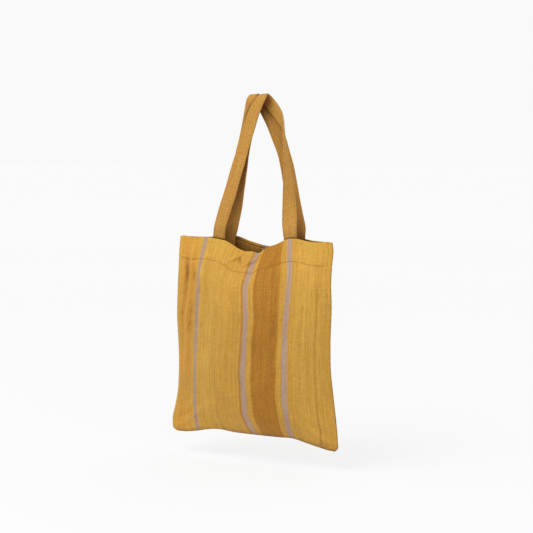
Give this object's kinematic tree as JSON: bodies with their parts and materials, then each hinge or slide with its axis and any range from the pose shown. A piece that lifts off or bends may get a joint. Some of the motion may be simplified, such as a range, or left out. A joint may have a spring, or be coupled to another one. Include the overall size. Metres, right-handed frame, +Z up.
{
  "type": "foldable tote bag",
  "caption": "Flat striped linen tote bag, open at the top, with long shoulder straps that hang it up; it folds back across its middle.",
  "frame": {"origin": "the point where the straps rest on the rail that holds the bag up", "axes": "+X across the bag to its right seen from the front, -Y out of its front, +Z up"},
  "size_m": [0.406, 0.0851, 0.7274],
  "materials": {
    "striped_linen": "plain weave linen, mustard with brown and taupe stripes",
    "strap_linen": "folded plain weave linen",
    "seam_linen": "turned and sewn linen edge",
    "thread": "matte sewing thread"
  },
  "bodies": {
    "bag_upper": {"front_panel_upper": "striped_linen", "back_panel_upper": "striped_linen", "front_hem": "seam_linen", "back_hem": "seam_linen", "front_hem_stitching": "thread", "back_hem_stitching": "thread", "left_seam_upper": "seam_linen", "right_seam_upper": "seam_linen", "front_left_strap_end": "strap_linen", "front_left_box_stitching": "thread", "front_right_strap_end": "strap_linen", "front_right_box_stitching": "thread", "back_left_strap_end": "strap_linen", "back_left_box_stitching": "thread", "back_right_strap_end": "strap_linen", "back_right_box_stitching": "thread"},
    "bag_lower": {"front_panel_lower": "striped_linen", "back_panel_lower": "striped_linen", "left_seam_lower": "seam_linen", "right_seam_lower": "seam_linen", "bottom_seam": "seam_linen"},
    "front_handle": {"front_strap": "strap_linen", "front_strap_edge_stitching": "thread"},
    "back_handle": {"back_strap": "strap_linen", "back_strap_edge_stitching": "thread"}
  },
  "joints": [
    {"name": "body_fold", "type": "hinge", "parent": "bag_upper", "child": "bag_lower", "pos_m": [0, 0.022, -0.536], "axis": [1, 0, 0], "range_deg": [0, 178]},
    {"name": "front_strap_swing", "type": "hinge", "parent": "bag_upper", "child": "front_handle", "pos_m": [0.0085, -0.0122, -0.286], "axis": [1, 0, 0], "range_deg": [0, 145]},
    {"name": "back_strap_swing", "type": "hinge", "parent": "bag_upper", "child": "back_handle", "pos_m": [0.015, 0.02, -0.286], "axis": [-1, 0, 0], "range_deg": [0, 138]}
  ]
}
